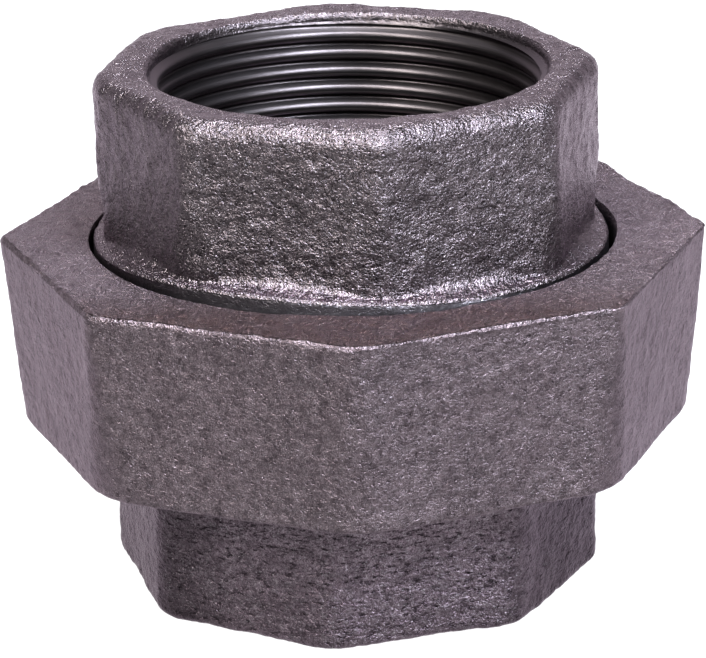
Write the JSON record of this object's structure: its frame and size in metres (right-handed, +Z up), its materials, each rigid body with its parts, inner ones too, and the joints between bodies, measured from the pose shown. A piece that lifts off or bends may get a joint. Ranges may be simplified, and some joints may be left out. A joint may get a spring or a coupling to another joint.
{
  "type": "pipe union",
  "caption": "Cast-iron pipe union: an octagonal union nut joins two female-threaded octagonal ends over a flat gasket.",
  "frame": {"origin": "on the pipe axis at the bottom face, the centre of the bottom of the bounding box", "axes": "+Z up along the pipe axis from the threaded end to the tail end, -Y towards a corner of the union nut's octagon"},
  "size_m": [0.086, 0.086, 0.0636],
  "materials": {
    "threaded_end_iron": "rough sand-cast black iron, machined thread and seat",
    "union_nut_iron": "fine-grained sand-cast black iron, machined thread",
    "tail_end_iron": "coarse sand-cast black iron, bright machined thread and neck",
    "gasket_fibre": "matte dark fibre-reinforced rubber sheet"
  },
  "bodies": {
    "threaded_end": {"threaded_end": "threaded_end_iron"},
    "gasket": {"gasket": "gasket_fibre"},
    "union_nut": {"union_nut": "union_nut_iron"},
    "tail_end": {"tail_end": "tail_end_iron"}
  },
  "joints": [
    {"name": "lift", "type": "slide", "parent": "threaded_end", "child": "gasket", "axis": [0, 0, 1], "range_m": [0, 0.0111]},
    {"name": "nut_turn", "type": "hinge", "parent": "gasket", "child": "union_nut", "pos_m": [0, 0, 0.031], "axis": [0, 0, 1], "range_deg": [0, 1728]},
    {"name": "tail_swivel", "type": "hinge", "parent": "gasket", "child": "tail_end", "pos_m": [0, 0, 0.045], "axis": [0, 0, 1], "continuous": true}
  ],
  "couplings": [
    {"joint": "lift", "follows": "nut_turn", "m_per_rad": 0.00036749}
  ]
}
